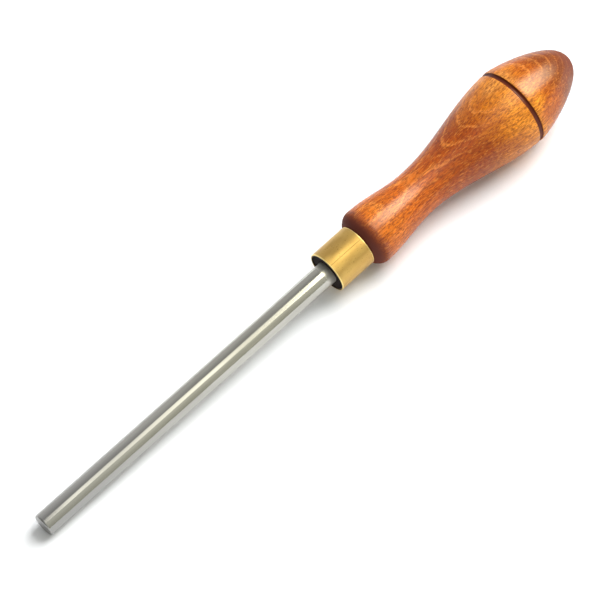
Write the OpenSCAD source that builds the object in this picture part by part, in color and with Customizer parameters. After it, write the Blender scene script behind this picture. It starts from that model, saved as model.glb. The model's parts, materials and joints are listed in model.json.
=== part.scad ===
// Burnisher: a polished steel rod in a turned wooden handle with a brass ferrule.
// Millimetres. The tool lies at rest on z = 0, on the rod's tip and the handle's belly, with the tip towards -X.

/* [Rod] */
// Diameter of the polished steel rod
rod_d = 8; // [5:0.1:10.5]
// Length of rod that shows in front of the ferrule
rod_free = 125; // [80:1:200]
// Length of the tang, from the end of the handle's tenon to its own end
tang_len = 55; // [30:1:75]
// How much thinner the tang is than the rod, so that the rod's shoulder seats on the tenon
tang_relief = 0.6; // [0.2:0.1:2]
// Bevel on the rod's tip and on the tang's end
rod_bevel = 0.4; // [0.2:0.1:1]

/* [Ferrule] */
// Outside diameter of the brass tube
ferrule_d = 15.1; // [13:0.1:19]
// Length of the tube, from its mouth to the handle's shoulder
ferrule_len = 14.3; // [8:0.1:25]
// Wall of the tube
ferrule_wall = 0.6; // [0.4:0.1:1.2]
// Bevel on the tube's four edges
ferrule_bevel = 0.15; // [0.05:0.05:0.2]

/* [Handle outline] */
// Diameter of the bead behind the ferrule
bead_d = 20.8; // [20:0.1:30]
// Diameter of the waist
waist_d = 16.2; // [14:0.1:24]
// Diameter of the belly
belly_d = 29.2; // [24:0.1:40]
// Length from the shoulder to the top of the bead
shoulder_len = 4.5; // [3:0.1:10]
// Length from the bead to the waist
bead_to_waist = 23; // [15:0.5:40]
// Length from the waist to the belly
waist_to_belly = 46; // [30:0.5:70]
// Length from the belly to the end of the butt
butt_len = 25.3; // [18:0.1:40]
// How fast the shoulder rises: a low power gives a square shoulder, a high one a sloping one
shoulder_power = 0.75; // [0.5:0.05:1]
// How soon the butt falls away behind the belly: 2 is an ellipse, and lower falls sooner
butt_fall_power = 1.2; // [1.1:0.05:2.5]
// How blunt the end of the butt is: 2 is an ellipse, and higher is blunter
butt_blunt_power = 2.2; // [1.5:0.05:3]

/* [Groove] */
// Width of the half-round groove
groove_w = 1.7; // [1:0.1:3]
// Distance of the groove's middle from the belly, towards the ferrule
groove_before_belly = 1.9; // [1.5:0.1:20]

/* [Fits] */
// Clearance for glue round the tang, on the radius
tang_gap = 0.05; // [0.02:0.01:0.2]
// Clearance between the tenon and the ferrule, on the radius
tenon_gap = 0.02; // [0.01:0.01:0.1]
// How far the tenon's end lies inside the ferrule's mouth
tenon_recess = 0.4; // [0.2:0.1:2]
// Free space between the tang's end and the bottom of its bore
bore_spare = 1; // [0.2:0.1:5]
// Angle of the drill's point at the bottom of the bore
drill_point = 118; // [90:1:140]

/* [Hidden] */
$fn = 96;

rod_r = rod_d / 2;
tang_r = rod_r - tang_relief / 2;
ferrule_r = ferrule_d / 2;
ferrule_bore_r = ferrule_r - ferrule_wall;
tenon_r = ferrule_bore_r - tenon_gap;
tang_bore_r = tang_r + tang_gap;
bead_r = bead_d / 2;
waist_r = waist_d / 2;
belly_r = belly_d / 2;
groove_r = groove_w / 2;

// Stations along the tool's own axis, from the tip of the rod
mouth_z = rod_free;
tenon_end_z = mouth_z + tenon_recess;
shoulder_z = mouth_z + ferrule_len;
bead_z = shoulder_z + shoulder_len;
waist_z = bead_z + bead_to_waist;
belly_z = waist_z + waist_to_belly;
groove_z = belly_z - groove_before_belly;
tang_end_z = tenon_end_z + tang_len;

// Steps along each curve of the handle's outline
shoulder_steps = 8;
waist_steps = 16;
belly_steps = 32;
butt_steps = 20;

// Radius of an S-shaped stretch between two radii, at a share of its length
function s_curve(from, to, share) = from + (to - from) * (1 - cos(180 * share)) / 2;

// The shoulder rises steeply from the tenon and levels out on the bead
function shoulder_point(share) =
    [tenon_r + (bead_r - tenon_r) * pow(1 - pow(1 - share, 2), shoulder_power),
     shoulder_z + shoulder_len * share];

function bead_point(share) = [s_curve(bead_r, waist_r, share), bead_z + bead_to_waist * share];

function waist_point(share) = [s_curve(waist_r, belly_r, share), waist_z + waist_to_belly * share];

// The butt is a superellipse, followed by angle so that its steps close up on the blunt end
function butt_point(angle) =
    [belly_r * pow(cos(angle), 2 / butt_blunt_power),
     belly_z + butt_len * pow(sin(angle), 2 / butt_fall_power)];

outline = [
    for (i = [0 : shoulder_steps - 1]) shoulder_point(pow(i / shoulder_steps, 2)),
    for (i = [0 : waist_steps - 1]) bead_point(i / waist_steps),
    for (i = [0 : belly_steps - 1]) waist_point(i / belly_steps),
    for (i = [0 : butt_steps]) butt_point(90 * i / butt_steps)
];

// The tool leans on the rim behind the bevel of its tip and on the fullest part of the handle
rest_angle = max([for (p = outline) atan2(p[0] - rod_r, p[1] - rod_bevel)]);
rest_lift = rod_r * cos(rest_angle) - rod_bevel * sin(rest_angle);
tip_x = -(rod_r - rod_bevel) * sin(rest_angle);
butt_x = max([for (p = outline) p[1] * cos(rest_angle) + p[0] * sin(rest_angle)]);
middle_x = (tip_x + butt_x) / 2;

// Lays what is drawn along the tool's own axis down on z = 0, with its box centred on the origin.
// The half turn brings the seam of the turned surfaces to the top, away from where the tool touches z = 0.
module laid() {
    translate([-middle_x, 0, rest_lift])
        rotate([0, 90 - rest_angle, 0])
            rotate([0, 0, 180])
                children();
}

module turned_outline() {
    tenon = [[0, tenon_end_z], [tenon_r, tenon_end_z]];
    rotate_extrude()
        polygon(concat(tenon, outline));
}

module tang_bore() {
    depth_z = tang_end_z + bore_spare;
    point_h = tang_bore_r / tan(drill_point / 2);
    translate([0, 0, mouth_z])
        cylinder(r = tang_bore_r, h = depth_z - mouth_z);
    translate([0, 0, depth_z])
        cylinder(r1 = tang_bore_r, r2 = 0, h = point_h);
}

// The groove is a half circle whose middle lies on the handle's surface
module groove() {
    share = (groove_z - waist_z) / waist_to_belly;
    rotate_extrude()
        translate([s_curve(waist_r, belly_r, share), groove_z])
            circle(r = groove_r, $fn = 32);
}

module handle() {
    color("peru")
        laid()
            difference() {
                turned_outline();
                tang_bore();
                groove();
            }
}

module ferrule() {
    color("goldenrod")
        laid()
            rotate_extrude()
                polygon([
                    [ferrule_bore_r + ferrule_bevel, mouth_z],
                    [ferrule_r - ferrule_bevel, mouth_z],
                    [ferrule_r, mouth_z + ferrule_bevel],
                    [ferrule_r, shoulder_z - ferrule_bevel],
                    [ferrule_r - ferrule_bevel, shoulder_z],
                    [ferrule_bore_r + ferrule_bevel, shoulder_z],
                    [ferrule_bore_r, shoulder_z - ferrule_bevel],
                    [ferrule_bore_r, mouth_z + ferrule_bevel]
                ]);
}

module rod() {
    color("silver")
        laid()
            rotate_extrude()
                polygon([
                    [0, 0],
                    [rod_r - rod_bevel, 0],
                    [rod_r, rod_bevel],
                    [rod_r, tenon_end_z],
                    [tang_r, tenon_end_z],
                    [tang_r, tang_end_z - rod_bevel],
                    [tang_r - rod_bevel, tang_end_z],
                    [0, tang_end_z]
                ]);
}

handle();
ferrule();
rod();
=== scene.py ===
"""A burnisher: a ground steel rod in a lacquered wooden handle with a brass ferrule, on a pale floor."""

import json
import math

import bpy
import numpy as np
from mathutils import Matrix, Vector


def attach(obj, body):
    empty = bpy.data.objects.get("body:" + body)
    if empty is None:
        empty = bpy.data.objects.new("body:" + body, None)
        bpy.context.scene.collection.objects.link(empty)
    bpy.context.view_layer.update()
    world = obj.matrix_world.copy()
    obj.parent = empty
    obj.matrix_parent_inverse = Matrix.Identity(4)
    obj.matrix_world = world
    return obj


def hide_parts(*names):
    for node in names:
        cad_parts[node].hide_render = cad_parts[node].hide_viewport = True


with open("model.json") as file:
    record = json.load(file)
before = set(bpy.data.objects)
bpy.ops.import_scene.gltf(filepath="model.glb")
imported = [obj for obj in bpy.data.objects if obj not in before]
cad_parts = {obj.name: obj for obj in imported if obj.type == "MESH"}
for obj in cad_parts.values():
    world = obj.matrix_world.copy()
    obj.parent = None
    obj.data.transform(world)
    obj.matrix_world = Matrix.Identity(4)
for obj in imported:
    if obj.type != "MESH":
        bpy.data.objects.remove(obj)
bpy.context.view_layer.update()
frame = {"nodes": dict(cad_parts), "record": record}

MM = 0.001
# Vertices closer than this are one point of an outline
MERGE = 0.002 * MM
# An outline has a corner where it turns by more than this
CORNER = math.radians(40)
# A mesh has a sharp edge where two faces turn by more than this
SHARP = math.radians(35)


# The tool's own axes

def columns(x, y, z, origin):
    """A matrix from three axes and an origin."""
    matrix = Matrix((x, y, z)).transposed().to_4x4()
    matrix.translation = origin
    return matrix


def tool_axes():
    """Axes with the origin at the rod's tip: z towards the butt, x up and y to the near side."""
    mount = next(m for m in frame["record"]["mounts"] if m["name"] == "rod")
    along = -Vector(mount["axis"]).normalized()
    near = Vector((0, -1, 0))
    middle = Vector(mount["pos_m"])
    tip = min((v.co - middle).dot(along) for v in frame["nodes"]["rod"].data.vertices)
    return columns(near.cross(along), near, along, middle + tip * along)


tool = tool_axes()


# Outlines, as lists of (station along the axis, radius)

def turned_points(node):
    """The stations and radii of a turned node's vertices, from the tip on, the larger radius first."""
    to_tool = tool.inverted()
    points = []
    for vertex in frame["nodes"][node].data.vertices:
        local = to_tool @ vertex.co
        point = (local.z, math.hypot(local.x, local.y))
        if not any(abs(point[0] - z) < MERGE and abs(point[1] - r) < MERGE for z, r in points):
            points.append(point)
    return sorted(points, key=lambda p: (round(p[0], 6), -p[1]))


def corners(points):
    """The places in a list of points where its line has a corner."""
    steps = np.diff(np.array(points), axis=0)
    turns = np.diff(np.unwrap(np.arctan2(steps[:, 1], steps[:, 0])))
    return [i + 1 for i, turn in enumerate(turns) if abs(turn) > CORNER]


def curve_through(points, step, square_end=False):
    """A smooth line through the points, with a point about every step.

    A square end meets the axis at a right angle.
    """
    points = np.array(points)
    lengths = np.linalg.norm(np.diff(points, axis=0), axis=1)
    at = np.concatenate([[0], np.cumsum(lengths)])
    slopes = np.gradient(points, at, axis=0, edge_order=1)
    if square_end:
        slopes[-1] = (0, -1)
    line = [points[0]]
    for i, length in enumerate(lengths):
        count = max(1, math.ceil(length / step))
        for share in np.arange(1, count + 1) / count:
            rest = 1 - share
            line.append(
                (1 + 2 * share) * rest**2 * points[i]
                + (1 + 2 * rest) * share**2 * points[i + 1]
                + length * share * rest * (rest * slopes[i] - share * slopes[i + 1])
            )
    return [tuple(p) for p in line]


def eased(before, after, reach, steps=4):
    """Two lines that meet at a corner, with a small round in the corner's place: before, round, after."""
    corner = np.array(before[-1])
    start = [p for p in before if math.dist(p, corner) > reach]
    end = [p for p in after if math.dist(p, corner) > reach]
    first = corner + (np.array(start[-1]) - corner) * reach / math.dist(start[-1], corner)
    last = corner + (np.array(end[0]) - corner) * reach / math.dist(end[0], corner)
    shares = np.linspace(0, 1, steps + 1)
    bend = [tuple((1 - s) ** 2 * first + 2 * s * (1 - s) * corner + s**2 * last) for s in shares]
    return start, bend, end


def eased_corners(befores, points, afters, reach):
    """A line of rounds, one for each point, between the points before and after it."""
    line = []
    for before, corner, after in zip(befores, points, afters):
        _, bend, _ = eased([before, corner], [corner, after], reach)
        line += bend
    return line


# Turned meshes

def turned_mesh(name, outline, angles, closed=False, radius_at=None):
    """A mesh turned from an outline.

    The outline starts and ends on the axis, or it is closed and stays off the axis.
    """
    rings = outline if closed else outline[1:-1]
    around = len(angles)
    vertices = []
    for z, r in rings:
        for angle in angles:
            reach = radius_at(r, angle) if radius_at else r
            vertices.append((reach * math.cos(angle), reach * math.sin(angle), z))
    faces = []
    count = len(rings)
    for i in range(count if closed else count - 1):
        low, high = i * around, (i + 1) % count * around
        for j in range(around):
            k = (j + 1) % around
            faces.append((low + j, low + k, high + k, high + j))
    if not closed:
        first, last = len(vertices), len(vertices) + 1
        vertices += [(0, 0, outline[0][0]), (0, 0, outline[-1][0])]
        top = (count - 1) * around
        for j in range(around):
            k = (j + 1) % around
            faces.append((first, k, j))
            faces.append((last, top + j, top + k))
    mesh = bpy.data.meshes.new(name)
    mesh.from_pydata(vertices, [], faces)
    mesh.validate()
    mesh.shade_smooth()
    mesh.set_sharp_from_angle(angle=SHARP)
    return mesh


def mark(mesh, name, value_at):
    """Stores a number on every vertex, for the materials to read."""
    layer = mesh.attributes.new(name, "FLOAT", "POINT")
    layer.data.foreach_set("value", [value_at(v.co) for v in mesh.vertices])


def full_turn(count):
    """Angles spread evenly round a circle."""
    return [2 * math.pi * i / count for i in range(count)]


def add_piece(name, mesh, node, slot, *materials):
    """Lays a turned mesh down in the place of its CAD node."""
    mesh.transform(tool)
    for material in materials:
        mesh.materials.append(material)
    piece = bpy.data.objects.new(name, mesh)
    bpy.context.scene.collection.objects.link(piece)
    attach(piece, "root")
    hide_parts(node)


# Materials

class Shader:
    """One node tree, with short calls for the nodes that the materials and lights use."""

    def __init__(self, tree):
        self.tree = tree

    def put(self, socket, value):
        """Sets a socket to another node's output, a colour or a plain value."""
        if isinstance(value, bpy.types.NodeSocket):
            self.tree.links.new(value, socket)
        elif socket.type == "RGBA":
            socket.default_value = (*value, 1)
        else:
            socket.default_value = value

    def add(self, kind, inputs, **settings):
        """A new node, with its settings, and its inputs as plain values or other nodes' outputs."""
        node = self.tree.nodes.new("ShaderNode" + kind)
        for name, value in settings.items():
            setattr(node, name, value)
        for name, value in inputs.items():
            self.put(node.inputs[name], value)
        return node

    def math(self, operation, a, b=0.0):
        return self.add("Math", {0: a, 1: b}, operation=operation).outputs[0]

    def parts(self, vector):
        """A vector's X, Y and Z."""
        return self.add("SeparateXYZ", {"Vector": vector}).outputs

    def moved(self, vector, scale=(1, 1, 1), shift=(0, 0, 0), turn=(0, 0, 0)):
        inputs = {"Vector": vector, "Scale": scale, "Location": shift, "Rotation": turn}
        return self.add("Mapping", inputs).outputs[0]

    def noise(self, vector, scale, shift=(0, 0, 0), detail=2.0, rough=0.5, output="Fac"):
        """Noise with its own scale along each axis, and a shift that keeps it apart from other noises."""
        place = self.moved(vector, scale, shift)
        inputs = {"Vector": place, "Scale": 1.0, "Detail": detail, "Roughness": rough}
        return self.add("TexNoise", inputs).outputs[output]

    def ramp(self, factor, stops):
        """Colours or greys at places from 0 to 1."""
        node = self.add("ValToRGB", {"Fac": factor})
        elements = node.color_ramp.elements
        while len(elements) < len(stops):
            elements.new(0.5)
        for element, (place, colour) in zip(elements, stops):
            element.position = place
            element.color = (*colour, 1) if isinstance(colour, tuple) else (colour, colour, colour, 1)
        return node.outputs["Color"]

    def share(self, value, low, high):
        """How far a value is on the way from low to high, from 0 to 1."""
        inputs = {"Value": value, "From Min": low, "From Max": high}
        return self.add("MapRange", inputs).outputs[0]

    def span(self, value, low, high, to_low=0.0, to_high=1.0):
        """A smooth change from one number to another while a value goes from low to high."""
        inputs = {"Value": value, "From Min": low, "From Max": high, "To Min": to_low, "To Max": to_high}
        return self.add("MapRange", inputs, interpolation_type="SMOOTHSTEP").outputs[0]

    def mix(self, factor, a, b, blend="MIX"):
        inputs = {0: factor, 6: a, 7: b}
        return self.add("Mix", inputs, data_type="RGBA", blend_type=blend).outputs[2]

    def bump(self, height, distance, strength):
        inputs = {"Height": height, "Distance": distance, "Strength": strength}
        return self.add("Bump", inputs).outputs[0]

    def own_place(self):
        """The place on the tool in its own axes, in millimetres."""
        place = self.add("TexCoord", {}).outputs["Object"]
        to_tool = tool.inverted()
        return self.moved(
            place,
            scale=(1 / MM, 1 / MM, 1 / MM),
            shift=to_tool.translation / MM,
            turn=to_tool.to_euler(),
        )

    def stored(self, name):
        """A number that mark() has stored."""
        return self.add("Attribute", {}, attribute_name=name).outputs["Fac"]


def new_material(name):
    """A new material, its shader and the inputs of its surface."""
    material = bpy.data.materials.new(name)
    material.use_nodes = True
    shader = Shader(material.node_tree)
    return material, shader, material.node_tree.nodes["Principled BSDF"].inputs


def rgb(red, green, blue):
    """A colour from its usual 0 to 255 values."""
    def linear(value):
        value /= 255
        return value / 12.92 if value <= 0.04045 else ((value + 0.055) / 1.055) ** 2.4
    return linear(red), linear(green), linear(blue)


# Wood: growth layers, fibres and pores under a stain, and a gloss lacquer over it all

# The side that the growth layers face, as an angle from straight up towards the near side
LAYERS_FACE = math.radians(-6)
# In millimetres: how far below the axis the tree's middle is, how thick a layer is, and how far it wavers
TREE_MIDDLE = 41.6
LAYER_STEP = 1.6
LAYER_WAVER = 2.4
# The distances from the middle of the tree between which the wood turns pale, in millimetres
PALE_FROM = 55.5
PALE_FULL = 56.1

EARLY_WOOD = rgb(236, 146, 60)
LATE_WOOD = rgb(134, 52, 8)
PALE_WOOD = rgb(226, 158, 72)
FIGURE = rgb(132, 52, 8)
STREAK = rgb(120, 48, 8)
FLECK = rgb(240, 152, 60)
PORE = rgb(100, 38, 8)
# Dark of the shoulder and the butt: partly end-grain stain, partly painted shade
END_GRAIN_AND_SHADE = rgb(102, 52, 42)
BURNED_GROOVE = rgb(100, 44, 26)
# The tenon's end: dark stain and painted shade where it lies in the ferrule's mouth
TENON_STAIN_AND_SHADE = rgb(48, 40, 40)
# The stain, by shares of the way from the shoulder to the butt: it took lightly on the bead and before the
# groove, and deeply between them and towards the butt; these darker shares are partly stain and partly
# painted shade on the handle's faces that turn from the light
STAIN_AND_SHADE = [
    (0.0, rgb(206, 104, 18)),
    (0.1, rgb(218, 116, 20)),
    (0.2, rgb(204, 102, 16)),
    (0.3, rgb(192, 90, 10)),
    (0.42, rgb(168, 75, 4)),
    (0.5, rgb(160, 71, 4)),
    (0.6, rgb(202, 114, 12)),
    (0.7, rgb(246, 156, 40)),
    (0.8, rgb(188, 96, 14)),
    (0.88, rgb(142, 80, 30)),
    (1.0, rgb(112, 66, 36)),
]


def wood_material(shoulder_z, butt_z):
    """The handle's wood, whose stain and painted shade follow the way from the shoulder to the butt."""
    material, shader, surface = new_material("wood")
    place = shader.own_place()
    way = shader.parts(place)

    # Growth layers are slightly wavy shells round the middle of the tree, which turning cuts into ovals
    wander = shader.noise(place, (0.12, 0.12, 0.05), detail=3.0, output="Color")
    pull = shader.add("VectorMath", {0: wander, 1: (0.5, 0.5, 0.5)}, operation="SUBTRACT").outputs[0]
    waver = {0: pull, 1: (LAYER_WAVER, LAYER_WAVER, 0), 2: place}
    waved = shader.add("VectorMath", waver, operation="MULTIPLY_ADD").outputs[0]
    from_middle = shader.moved(
        waved,
        scale=(1, 1, 0),
        shift=(TREE_MIDDLE * math.cos(LAYERS_FACE), TREE_MIDDLE * math.sin(LAYERS_FACE), 0),
    )
    depth = shader.add("VectorMath", {0: from_middle}, operation="LENGTH").outputs["Value"]
    layer = shader.math("FRACT", shader.math("DIVIDE", depth, LAYER_STEP))
    pale_lines = shader.ramp(layer, [(0.0, 1.0), (0.1, 0.7), (0.2, 0.0), (0.93, 0.0), (1.0, 1.0)])
    less_on_near_side = shader.span(way["Y"], 1.0, 7.0, 1.0, 0.2)
    early = shader.math("MULTIPLY", pale_lines, less_on_near_side)
    late = shader.ramp(layer, [(0.2, 0.0), (0.6, 0.35), (0.9, 1.0), (1.0, 0.0)])
    pale = shader.span(depth, PALE_FROM, PALE_FULL)

    # Fibres run along the axis, with short dark pores, pale flecks and broader dark figure between them
    fibre = shader.noise(place, (1.9, 1.9, 0.06), detail=6.0, rough=0.75)
    streaks = shader.ramp(fibre, [(0.36, 1.0), (0.54, 0.0)])
    pore = shader.noise(place, (2.9, 2.9, 0.75), shift=(7, 3, 1))
    pores = shader.ramp(pore, [(0.5, 0.0), (0.6, 1.0)])
    fleck = shader.noise(place, (2.2, 2.2, 0.2), shift=(1, 9, 4), detail=3.0)
    flecks = shader.ramp(fleck, [(0.54, 0.0), (0.68, 1.0)])
    figure = shader.noise(place, (0.7, 0.7, 0.08), shift=(5, 1, 6), detail=4.0, rough=0.65)
    figures = shader.ramp(figure, [(0.48, 0.0), (0.66, 1.0)])

    # The stain is blotchy, and each feature of the wood lies over it and over those before it
    share = shader.share(way["Z"], shoulder_z / MM, butt_z / MM)
    blotch = shader.noise(place, (0.16, 0.16, 0.08), shift=(2, 5, 3), detail=3.0)
    uneven = shader.math("MULTIPLY", shader.math("SUBTRACT", blotch, 0.5), 0.24)
    # The stain ramp also paints shade: its darker shares stand partly for faces turned from the light
    colour = shader.ramp(shader.math("ADD", share, uneven), STAIN_AND_SHADE)
    for where, strength, feature in [
        (late, 0.35, LATE_WOOD),
        (early, 0.6, EARLY_WOOD),
        (pale, 0.45, PALE_WOOD),
        (figures, 0.4, FIGURE),
        (streaks, 0.65, STREAK),
        (flecks, 0.35, FLECK),
        (pores, 0.62, PORE),
    ]:
        colour = shader.mix(shader.math("MULTIPLY", where, strength), colour, feature)

    # End grain drinks the stain and the lacquer, and the groove is burned dark. The dark at the shoulder is
    # partly that stain and partly painted shade, and the dark towards the butt is painted shade
    soak_and_shade = shader.stored("end_grain_and_shade")
    groove = shader.stored("groove")
    # Painted shade at the shoulder and the butt, mixed with the shoulder's dark end-grain stain
    soaked_and_shaded = shader.mix(soak_and_shade, colour, END_GRAIN_AND_SHADE)
    shader.put(surface["Base Color"], shader.mix(groove, soaked_and_shaded, BURNED_GROOVE))
    shader.put(surface["Roughness"], shader.span(fibre, 0.3, 0.7, 0.6, 0.45))
    bare = shader.math("MAXIMUM", soak_and_shade, shader.math("MULTIPLY", groove, 0.55))
    shader.put(surface["Coat Weight"], shader.span(bare, 0.25, 0.8, 0.65, 0.15))
    relief = shader.math("SUBTRACT", shader.math("MULTIPLY", fibre, 0.6), pores)
    grain = shader.bump(relief, 0.02 * MM, 0.35)
    shader.put(surface["Normal"], grain)
    shader.put(surface["Coat Normal"], grain)
    shader.put(surface["Specular IOR Level"], 0.0)
    shader.put(surface["Coat Roughness"], 0.24)
    shader.put(surface["Coat IOR"], 1.5)
    return material


def tenon_material():
    """The tenon's end and the bore, which are black with stain and with painted shade of the ferrule's
    mouth.
    """
    material, shader, surface = new_material("tenon")
    # Black: stain and painted shade of the ferrule's mouth
    shader.put(surface["Base Color"], TENON_STAIN_AND_SHADE)
    shader.put(surface["Roughness"], 0.9)
    shader.put(surface["Specular IOR Level"], 0.1)
    return material


# Brass: a satin tube with some tarnish and specks, a dark seam, ends worn bright with a painted highlight,
# and painted shade within the tube

BRASS_DULL = rgb(184, 147, 82)
BRASS_CLEAN = rgb(197, 162, 94)
BRASS_SPECK = rgb(110, 76, 30)
BRASS_SEAM = rgb(70, 46, 22)
# The ends' bright brass is partly wear and partly a painted highlight on the lip
BRASS_RUBBED_GLINT = rgb(250, 224, 150)
# Painted shade on the tube's inner wall
BRASS_INSIDE_SHADE = rgb(62, 46, 30)


def brass_material():
    """The ferrule's brass, which reads from the mesh where the seam, the ends worn bright with a painted
    highlight and the painted shade within the tube are.
    """
    material, shader, surface = new_material("brass")
    place = shader.own_place()
    tarnish = shader.noise(place, (0.3, 0.3, 0.12), detail=3.0)
    metal = shader.ramp(tarnish, [(0.35, BRASS_DULL), (0.65, BRASS_CLEAN)])
    speck = shader.noise(place, (2.2, 2.2, 2.2), shift=(8.8, 4.4, 17.6), detail=1.0)
    specks = shader.ramp(speck, [(0.69, 0.0), (0.75, 0.8)])
    spotted = shader.mix(specks, metal, BRASS_SPECK)
    seam = shader.math("MULTIPLY", shader.stored("seam"), 0.7)
    seamed = shader.mix(seam, spotted, BRASS_SEAM)
    # A painted highlight, on top of wear, where the ends are worn bright
    rubbed_glint = shader.mix(shader.stored("rubbed_glint"), seamed, BRASS_RUBBED_GLINT)
    # Painted shade on the tube's inner wall
    shader.put(surface["Base Color"], shader.mix(shader.stored("inside"), rubbed_glint, BRASS_INSIDE_SHADE))
    shader.put(surface["Roughness"], shader.span(tarnish, 0.3, 0.7, 0.31, 0.37))

    # Fine lines drawn along the tube spread its reflections round it
    round_it = shader.add("Tangent", {}, direction_type="RADIAL", axis="X").outputs[0]
    shader.put(surface["Tangent"], round_it)
    shader.put(surface["Anisotropic"], 0.7)
    shader.put(surface["Metallic"], 1.0)
    return material


# Steel: ground lengthways and polished, darkened towards the tip with painted shade, and dull on its end and
# near the ferrule

# Painted shade: the darker reflection of the floor's shadow near the tip
STEEL_TIP_SHADE = rgb(155, 154, 151)
STEEL_CLOUDED = rgb(172, 170, 162)
STEEL_CLEAN = rgb(186, 184, 176)
# The share of the free rod along which the painted shade fades
TIP_SHADE_SHARE = 0.75
# How far from the tip the end stays dull and where that stops, and how far in front of the ferrule the rod
# starts to turn dull, in millimetres
END_DULL = 0.3
END_BRIGHT = 0.5
MOUTH_REACH = 4.0


def steel_material(mouth_z):
    """The rod's steel, whose finish and painted shade change along the way from the tip to the ferrule's
    mouth.
    """
    material, shader, surface = new_material("steel")
    place = shader.own_place()
    along = shader.parts(place)["Z"]
    mouth = mouth_z / MM
    cloud = shader.noise(place, (0.5, 0.5, 0.05), detail=3.0)
    metal = shader.ramp(cloud, [(0.3, STEEL_CLOUDED), (0.7, STEEL_CLEAN)])
    # Painted shade, strongest at the tip and fading towards the ferrule
    from_tip = shader.span(along, 0.0, TIP_SHADE_SHARE * mouth)
    shader.put(surface["Base Color"], shader.mix(from_tip, STEEL_TIP_SHADE, metal))
    ground = shader.noise(place, (9, 9, 0.05), detail=4.0, rough=0.6)
    polish = shader.span(ground, 0.3, 0.7, 0.1, 0.18)
    by_mouth = shader.span(along, mouth - MOUTH_REACH, mouth, 0.0, 0.45)
    by_end = shader.span(along, END_DULL, END_BRIGHT, 0.2, 0.0)
    dull = shader.math("MAXIMUM", by_mouth, by_end)
    shader.put(surface["Roughness"], shader.math("ADD", polish, dull))
    shader.put(surface["Normal"], shader.bump(ground, 0.002 * MM, 0.3))
    shader.put(surface["Metallic"], 1.0)
    return material


# The handle

HANDLE_SIDES = 176
OUTLINE_STEP = 0.4 * MM
GROOVE_STEP = 0.1 * MM
GROOVE_EASE = 0.15 * MM
# How far behind the shoulder the end grain is dark with stain and painted shade, and over what length it
# then fades
SHOULDER_DARK = 1.2 * MM
SHOULDER_FADE = 5.7 * MM
# How dark the painted shade is on the end of the butt, and over what length it fades in front of it
BUTT_SHADE = 0.95
BUTT_FADE = 16 * MM


def make_handle():
    """The handle: the node's own bore and tenon, and smooth curves for its body, groove and butt."""
    points = turned_points("handle")
    on_axis = [z for z, r in points if r < MERGE]
    bore_r = min(r for z, r in points if z < points[0][0] + MERGE)
    bore = [p for p in points if p[0] <= on_axis[0] and p[1] < bore_r + MERGE]
    outside = [p for p in points if p not in bore]
    root, front, rear = corners(outside)
    tenon = outside[: root + 1]
    body = curve_through(outside[root : front + 1], OUTLINE_STEP)
    groove = curve_through(outside[front : rear + 1], GROOVE_STEP)
    butt = curve_through(outside[rear:], OUTLINE_STEP, square_end=True)
    body, front_edge, groove = eased(body, groove, GROOVE_EASE, steps=5)
    groove, rear_edge, butt = eased(groove, butt, GROOVE_EASE, steps=5)
    outline = bore[::-1] + tenon + body + front_edge + groove + rear_edge + butt
    mesh = turned_mesh("handle", outline, full_turn(HANDLE_SIDES))
    tenon_end_z, shoulder_z = tenon[0][0], tenon[1][0]
    butt_z = outline[-1][0]

    # Where the handle is darkened: stain and painted shade at the shoulder, painted shade at the butt
    def end_grain_and_shade(place):
        faded = min(max((place.z - shoulder_z - SHOULDER_DARK) / SHOULDER_FADE, 0), 1)
        shoulder = 1 - faded**2 * (3 - 2 * faded)
        butt_end = max(BUTT_SHADE * (1 - (butt_z - place.z) / BUTT_FADE), 0) ** 1.5
        return max(shoulder, butt_end)

    def in_groove(place):
        return 1.0 if groove[0][0] <= place.z <= groove[-1][0] else 0.0

    mark(mesh, "end_grain_and_shade", end_grain_and_shade)
    mark(mesh, "groove", in_groove)
    for face in mesh.polygons:
        on_tenon_end = face.center.z < tenon_end_z + MERGE
        in_bore = math.hypot(face.center.x, face.center.y) < bore_r and face.center.z < on_axis[0]
        if on_tenon_end or in_bore:
            face.material_index = 1
    wood = wood_material(shoulder_z, butt_z)
    add_piece("handle_turned", mesh, "handle", "wood", wood, tenon_material())


# The ferrule

FERRULE_SIDES = 160
FERRULE_EASE = 0.06 * MM
# Where the tube's seam is, as an angle from straight up towards the near side, and how wide and deep it is
SEAM_ANGLE = math.radians(23.7)
SEAM_WIDTH = 0.1 * MM
SEAM_DEPTH = 0.06 * MM
# Places across the seam, in halves of its width: just outside it, its edges, and the edges of its bottom
SEAM_PLACES = (-1.3, -1.0, -0.3, 0.3, 1.0, 1.3)
# Limits, in halves of its width, within which an angle is on its bottom, in it, or too near for a plain side
SEAM_BOTTOM = 0.5
SEAM_INSIDE = 1.1
SEAM_CLEAR = 3
# How far in from its ends the tube has one more ring, and how far in from them it is worn bright with a
# painted highlight
RING_IN = 0.5 * MM
RUBBED_GLINT_REACH = 0.3 * MM


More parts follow.
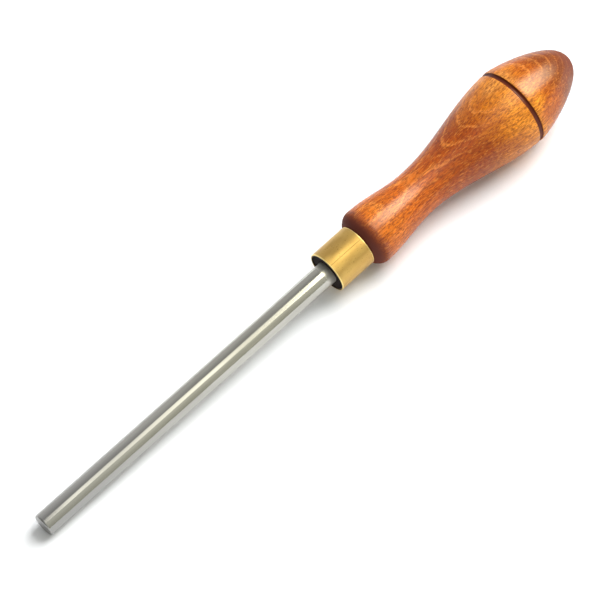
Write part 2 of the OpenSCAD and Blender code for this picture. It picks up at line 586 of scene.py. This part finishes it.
def make_ferrule():
    """The ferrule: a tube with eased edges and a seam along it."""
    points = turned_points("ferrule")
    middle_r = (min(r for z, r in points) + max(r for z, r in points)) / 2
    outer = sorted(p for p in points if p[1] > middle_r)
    inner = sorted((p for p in points if p[1] < middle_r), reverse=True)
    mouth_z, shoulder_z = outer[0][0], outer[-1][0]
    tube_r = outer[1][1]
    rings = [(mouth_z + RING_IN, tube_r), (shoulder_z - RING_IN, tube_r)]
    loop = outer[:2] + rings + outer[2:] + inner
    outline = eased_corners(loop[-1:] + loop[:-1], loop, loop[1:] + loop[:1], FERRULE_EASE)
    half = SEAM_WIDTH / 2 / tube_r

    def from_seam(angle):
        return abs(angle - SEAM_ANGLE) / half

    def radius_at(r, angle):
        on_bottom = from_seam(angle) < SEAM_BOTTOM
        return r - SEAM_DEPTH if on_bottom and r > middle_r else r

    plain = [angle for angle in full_turn(FERRULE_SIDES) if from_seam(angle) > SEAM_CLEAR]
    angles = sorted(plain + [SEAM_ANGLE + half * place for place in SEAM_PLACES])
    mesh = turned_mesh("ferrule", outline, angles, closed=True, radius_at=radius_at)

    def in_seam(place):
        return 1.0 if from_seam(math.atan2(place.y, place.x)) < SEAM_INSIDE else 0.0

    # Where painted shade goes: the tube's inner wall
    def inside(place):
        return 1.0 if math.hypot(place.x, place.y) < middle_r else 0.0

    # Where the ends are worn bright and given a painted highlight
    def rubbed_glint(place):
        from_end = min(place.z - mouth_z, shoulder_z - place.z)
        return 1.0 if from_end < RUBBED_GLINT_REACH else 0.0

    mark(mesh, "seam", in_seam)
    mark(mesh, "inside", inside)
    mark(mesh, "rubbed_glint", rubbed_glint)
    add_piece("ferrule_tube", mesh, "ferrule", "brass", brass_material())


# The rod

ROD_SIDES = 128
ROD_EASE = 0.08 * MM


def make_rod():
    """The rod and its tang, with eased edges."""
    points = turned_points("rod")
    tip, end = (points[0][0], 0), (points[-1][0], 0)
    rounds = eased_corners([tip] + points, points, points[1:] + [end], ROD_EASE)
    mesh = turned_mesh("rod", [tip] + rounds + [end], full_turn(ROD_SIDES))
    mouth_z = turned_points("ferrule")[0][0]
    add_piece("rod_ground", mesh, "rod", "steel", steel_material(mouth_z))


# The floor

FLOOR_REACH = 3.0
FLOOR_COLOUR = (0.92, 0.935, 0.95)


def make_floor():
    """A plain pale floor, which is not a part of the tool."""
    signs = [(-1, -1), (1, -1), (1, 1), (-1, 1)]
    mesh = bpy.data.meshes.new("floor")
    mesh.from_pydata([(FLOOR_REACH * x, FLOOR_REACH * y, 0) for x, y in signs], [], [(0, 1, 2, 3)])
    material, shader, surface = new_material("floor")
    shader.put(surface["Base Color"], FLOOR_COLOUR)
    shader.put(surface["Roughness"], 1.0)
    shader.put(surface["Specular IOR Level"], 0.0)
    mesh.materials.append(material)
    floor = bpy.data.objects.new("floor", mesh)
    bpy.context.scene.collection.objects.link(floor)


# The lights

# Each light's place: how far its middle leans from the tool's cross plane towards the butt, its height in
# that plane above the near side, and its sizes along and across the tool
BOX_LEAN = math.radians(32.6)
BOX_HEIGHT = math.radians(76.5)
BOX_SIZE = (2.126, 1.18)
BOX_RADIANCE = 20.0
BOX_COLOUR = (1.0, 0.99, 0.84)
KEY_LEAN = math.radians(40)
KEY_HEIGHT = math.radians(84)
KEY_SIZE = (1.3, 1.2)
KEY_RADIANCE = 8.3
LIGHT_DISTANCE = 1.6
# The softbox's brightness along the tool, from its end over the tip on: the rod and the ferrule mirror its
# dim part, and the handle's lacquer its bright part
BOX_GLOW = [
    (0.0, 0.15),
    (0.034, 0.1),
    (0.06, 0.065),
    (0.1, 0.051),
    (0.125, 0.056),
    (0.16, 0.082),
    (0.193, 0.098),
    (0.232, 0.077),
    (0.253, 0.05),
    (0.328, 0.04),
    (0.361, 0.15),
    (0.386, (0.5, 0.5, 0.44)),
    (0.434, (0.6, 0.6, 0.53)),
    (0.506, (0.62, 0.62, 0.54)),
    (0.736, (0.7, 0.7, 0.6)),
    (0.9, (0.32, 0.32, 0.27)),
    (1.0, (0.1, 0.1, 0.08)),
]
# The share of the softbox's width over which it fades at either side
BOX_FADE = 0.14


def make_light(name, lean, height, size, radiance):
    """A rectangular light that faces the tool."""
    facing = Vector((
        math.sin(lean),
        -math.cos(lean) * math.cos(height),
        math.cos(lean) * math.sin(height),
    ))
    lamp = bpy.data.lights.new(name, "AREA")
    lamp.shape = "RECTANGLE"
    lamp.size, lamp.size_y = size
    lamp.energy = radiance * math.pi * lamp.size * lamp.size_y
    light = bpy.data.objects.new(name, lamp)
    bpy.context.scene.collection.objects.link(light)
    across = facing.cross(Vector((1, 0, 0))).normalized()
    light.matrix_world = columns(across.cross(facing), across, facing, LIGHT_DISTANCE * facing)
    return light


def make_lights():
    """A key light for the floor and the shadows, and a graded softbox that metal and lacquer mirror."""
    key = make_light("key", KEY_LEAN, KEY_HEIGHT, KEY_SIZE, KEY_RADIANCE)
    key.visible_glossy = False
    box = make_light("softbox", BOX_LEAN, BOX_HEIGHT, BOX_SIZE, BOX_RADIANCE)
    box.visible_diffuse = False
    box.data.color = BOX_COLOUR
    box.data.use_nodes = True
    shader = Shader(box.data.node_tree)
    way = shader.parts(shader.add("NewGeometry", {}).outputs["Parametric"])
    glow = shader.ramp(way["X"], BOX_GLOW)
    edges = shader.ramp(way["Y"], [(0.0, 0.0), (BOX_FADE, 1.0), (1.0 - BOX_FADE, 1.0), (1.0, 0.0)])
    faded = shader.mix(1.0, glow, edges, blend="MULTIPLY")
    shader.put(box.data.node_tree.nodes["Emission"].inputs["Color"], faded)


# The surroundings

# The room's walls, from the near side to the far side
WALLS = [
    (0.0, (0.59, 0.585, 0.50)),
    (0.08, (0.74, 0.735, 0.64)),
    (0.17, (0.86, 0.855, 0.75)),
    (0.4, (0.60, 0.60, 0.60)),
    (0.6, (0.40, 0.40, 0.40)),
    (0.85, (0.62, 0.62, 0.62)),
    (1.0, (0.80, 0.80, 0.80)),
]
# How bright the walls are, from the tip's side to the butt's
WALLS_ALONG = [
    (0.3, 0.45),
    (0.5, 1.3),
    (0.58, 1.35),
    (0.63, 1.0),
    (0.75, 1.0),
    (0.9, 0.4),
]


def make_surroundings():
    """A dim room: warm walls on the near side, and cooler ones behind."""
    world = bpy.data.worlds.new("room")
    world.use_nodes = True
    shader = Shader(world.node_tree)
    way = shader.parts(shader.add("TexCoord", {}).outputs["Generated"])
    walls = shader.ramp(shader.share(way["Y"], -1.0, 1.0), WALLS)
    along = shader.ramp(shader.share(way["X"], -1.0, 1.0), WALLS_ALONG)
    room = shader.mix(1.0, walls, along, blend="MULTIPLY")
    shader.put(world.node_tree.nodes["Background"].inputs["Color"], room)
    bpy.context.scene.world = world


# The camera

# Where the tool is in the photograph's frame of 600 by 600: the tip's pixel and distance, the axis's angle
# in the picture and its tilt away from the camera, and the height of the view round the tool's axis
FRAME_PX = 600
FOCAL_PX = 3000
TIP_PX = (43.1, 525.94)
TIP_DISTANCE = 0.944679
AXIS_ANGLE = math.radians(41.76)
AXIS_TILT = math.radians(15.94)
VIEW_HEIGHT = math.radians(60)


def make_camera():
    """A camera that sees the tool where the photograph shows it."""
    axis = Vector((
        math.cos(AXIS_TILT) * math.cos(AXIS_ANGLE),
        math.cos(AXIS_TILT) * math.sin(AXIS_ANGLE),
        -math.sin(AXIS_TILT),
    ))
    back = Vector((0, 0, 1))
    facing = (back - back.project(axis)).normalized()
    below = axis.cross(facing)
    up = math.sin(VIEW_HEIGHT) * facing - math.cos(VIEW_HEIGHT) * below
    tip = TIP_DISTANCE * Vector((
        (TIP_PX[0] - FRAME_PX / 2) / FOCAL_PX,
        (FRAME_PX / 2 - TIP_PX[1]) / FOCAL_PX,
        -1,
    ))
    seen = columns(up, axis.cross(up), axis, tip)
    lens = bpy.data.cameras.new("camera")
    lens.lens = FOCAL_PX / FRAME_PX * lens.sensor_width
    camera = bpy.data.objects.new("camera", lens)
    bpy.context.scene.collection.objects.link(camera)
    camera.matrix_world = tool @ seen.inverted()
    bpy.context.scene.camera = camera


make_handle()
make_ferrule()
make_rod()
make_floor()
make_lights()
make_surroundings()
make_camera()
bpy.context.scene.view_settings.view_transform = "Standard"
